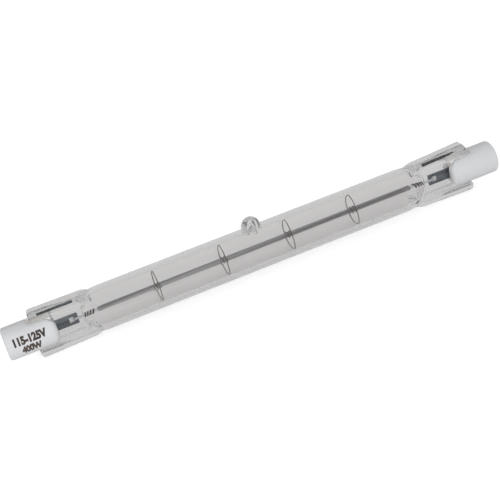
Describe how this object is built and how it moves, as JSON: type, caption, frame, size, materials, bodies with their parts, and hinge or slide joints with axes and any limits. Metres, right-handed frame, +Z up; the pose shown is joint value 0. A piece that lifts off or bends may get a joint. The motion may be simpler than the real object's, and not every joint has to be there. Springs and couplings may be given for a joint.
{
  "type": "double-ended halogen floodlight bulb",
  "caption": "Linear quartz halogen bulb with pressed foil seals, recessed-contact ceramic caps, a straight coiled filament on spiral supports and a sealed exhaust tip.",
  "frame": {"origin": "on the bench under the middle of the lamp, which lies on the outer faces of its seals' flanges", "axes": "+X along the lamp, towards the cap without print; +Z up, towards the exhaust tip; +Y square to the flat webs of the seals, with the foils on the +Y side of the leads"},
  "size_m": [0.1176, 0.01, 0.0131],
  "materials": {
    "quartz": "clear fused quartz, fire polished, with faint drawing lines along the tube",
    "steatite": "fine matt white steatite, pressed and fired, unglazed",
    "cement": "dull off-white ceramic cement",
    "contact_nickel": "nickel plated, turned face",
    "molybdenum": "drawn wire, dull bright",
    "molybdenum_foil": "etched foil, slate grey behind the quartz",
    "tungsten": "close-wound drawn wire, dark grey",
    "tungsten_support": "fine drawn wire, grey"
  },
  "bodies": {
    "root": {"quartz_envelope": "quartz", "filament": "tungsten", "filament_support_1": "tungsten_support", "filament_support_2": "tungsten_support", "filament_support_3": "tungsten_support", "filament_support_4": "tungsten_support", "left_ceramic_cap": "steatite", "left_cap_cement": "cement", "left_contact_button": "contact_nickel", "left_outer_lead": "molybdenum", "left_molybdenum_foil": "molybdenum_foil", "left_inner_lead": "molybdenum", "left_lead_coil": "tungsten", "right_ceramic_cap": "steatite", "right_cap_cement": "cement", "right_contact_button": "contact_nickel", "right_outer_lead": "molybdenum", "right_molybdenum_foil": "molybdenum_foil", "right_inner_lead": "molybdenum", "right_lead_coil": "tungsten"}
  },
  "joints": []
}
